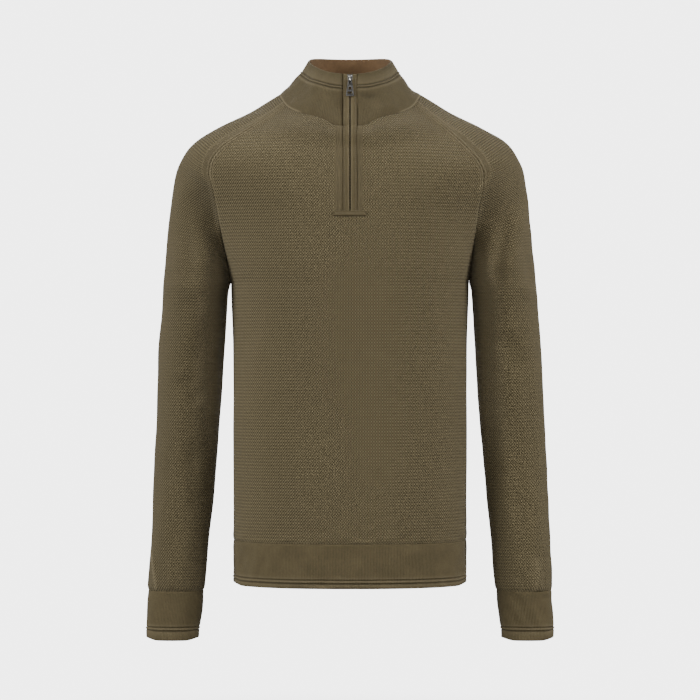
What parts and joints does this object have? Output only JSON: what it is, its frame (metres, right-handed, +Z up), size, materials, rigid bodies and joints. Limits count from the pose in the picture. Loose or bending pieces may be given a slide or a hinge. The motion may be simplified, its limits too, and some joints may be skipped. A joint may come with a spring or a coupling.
{
  "type": "quarter zip sweater",
  "caption": "Worn-shape quarter zip sweater: raglan sleeves, stand collar with short zip, plain knit hem band and cuffs around a textured knit body.",
  "frame": {"origin": "midway between the high points of the two shoulders, where the wearer holds the sweater up", "axes": "+Z up along the body, -Y out of the front, +X to the right as seen from the front"},
  "size_m": [0.568, 0.2406, 0.8144],
  "materials": {
    "textured_knit": "matt textured cotton knit, olive brown",
    "plain_knit": "matt fine cotton knit, olive brown",
    "zip_tape": "woven tape",
    "dark_metal": "gunmetal, satin",
    "nickel": "nickel, polished"
  },
  "bodies": {
    "garment": {"front": "textured_knit", "back": "textured_knit", "sleeve_left": "textured_knit", "sleeve_right": "textured_knit", "collar": "plain_knit", "hem_band": "plain_knit", "cuff_left": "plain_knit", "cuff_right": "plain_knit", "facing_left": "plain_knit", "facing_right": "plain_knit", "zip_end_bar": "plain_knit", "zip_tape_left": "zip_tape", "zip_tape_right": "zip_tape", "zip_chain": "dark_metal", "zip_slider": "nickel"},
    "pull_tab": {"zip_pull": "dark_metal"}
  },
  "joints": [
    {"name": "pull_swing", "type": "hinge", "parent": "garment", "child": "pull_tab", "pos_m": [0, -0.08667, 0.01328], "axis": [-1, 0, 0], "range_deg": [0, 150]}
  ]
}
